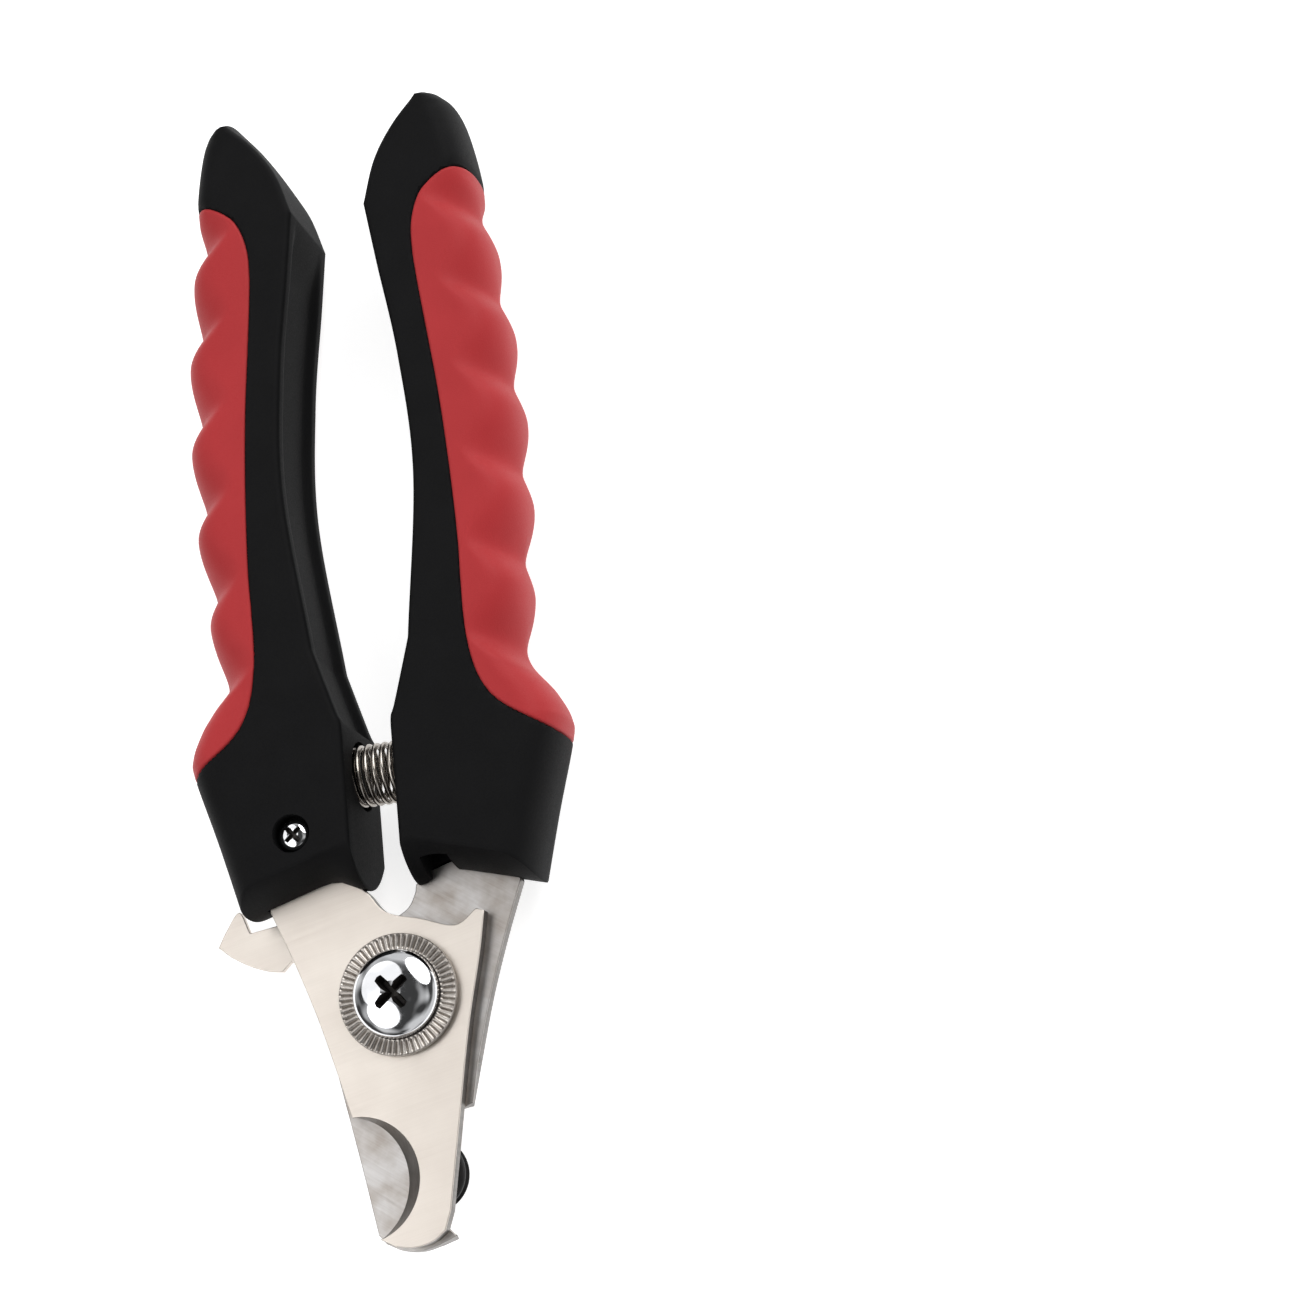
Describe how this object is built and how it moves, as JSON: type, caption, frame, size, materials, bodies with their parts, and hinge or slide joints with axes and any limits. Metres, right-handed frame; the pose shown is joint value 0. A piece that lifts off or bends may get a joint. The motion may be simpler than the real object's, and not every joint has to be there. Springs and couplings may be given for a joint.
{
  "type": "pet nail clipper",
  "caption": "Plier-style claw clipper with two shearing blades on one pivot, long finger-grooved handles, a return spring, a swinging nail stop and a lock catch.",
  "frame": {"origin": "on the pivot axis, at the flat end of the pivot screw, in the plane that the clipper lies on", "axes": "+Y from the pivot to the handle ends, +Z along the pivot towards the screw head (the front), +X to the right seen from the front"},
  "size_m": [0.0529, 0.162, 0.0177],
  "materials": {
    "blade_steel": "brushed",
    "chrome": "polished",
    "washer_steel": "serrated",
    "zinc_steel": "satin",
    "spring_wire": "drawn",
    "nylon": "matte",
    "black_rubber": "matte",
    "black_plastic": "fine satin",
    "red_grip": "soft matte"
  },
  "bodies": {
    "left_side": {"front_blade": "blade_steel", "left_handle_body": "black_plastic", "left_grip": "red_grip", "left_handle_screw": "chrome", "pivot_screw": "chrome", "serrated_washer": "washer_steel", "guard_washer": "nylon", "wave_washer": "zinc_steel", "nut_washer": "zinc_steel", "pivot_nut": "zinc_steel", "catch_stud": "chrome", "return_spring": "spring_wire"},
    "right_side": {"rear_blade": "blade_steel", "right_handle_body": "black_plastic", "right_grip": "red_grip", "right_handle_screw": "chrome", "catch_rivet": "chrome"},
    "guard": {"guard_plate": "blade_steel", "stop_pad": "black_rubber"},
    "catch": {"lock_catch": "zinc_steel"}
  },
  "joints": [
    {"name": "handle_pivot", "type": "hinge", "parent": "left_side", "child": "right_side", "pos_m": [0, 0, 0.008], "axis": [0, 0, -1], "range_deg": [0, 24], "deforming": ["return_spring"]},
    {"name": "guard_swing", "type": "hinge", "parent": "left_side", "child": "guard", "pos_m": [0, 0, 0.00425], "axis": [0, 0, 1], "range_deg": [0, 60]},
    {"name": "catch_swing", "type": "hinge", "parent": "right_side", "child": "catch", "pos_m": [0.0085, 0.029, 0.001], "axis": [0, 0, 1], "range_deg": [0, 85]}
  ]
}
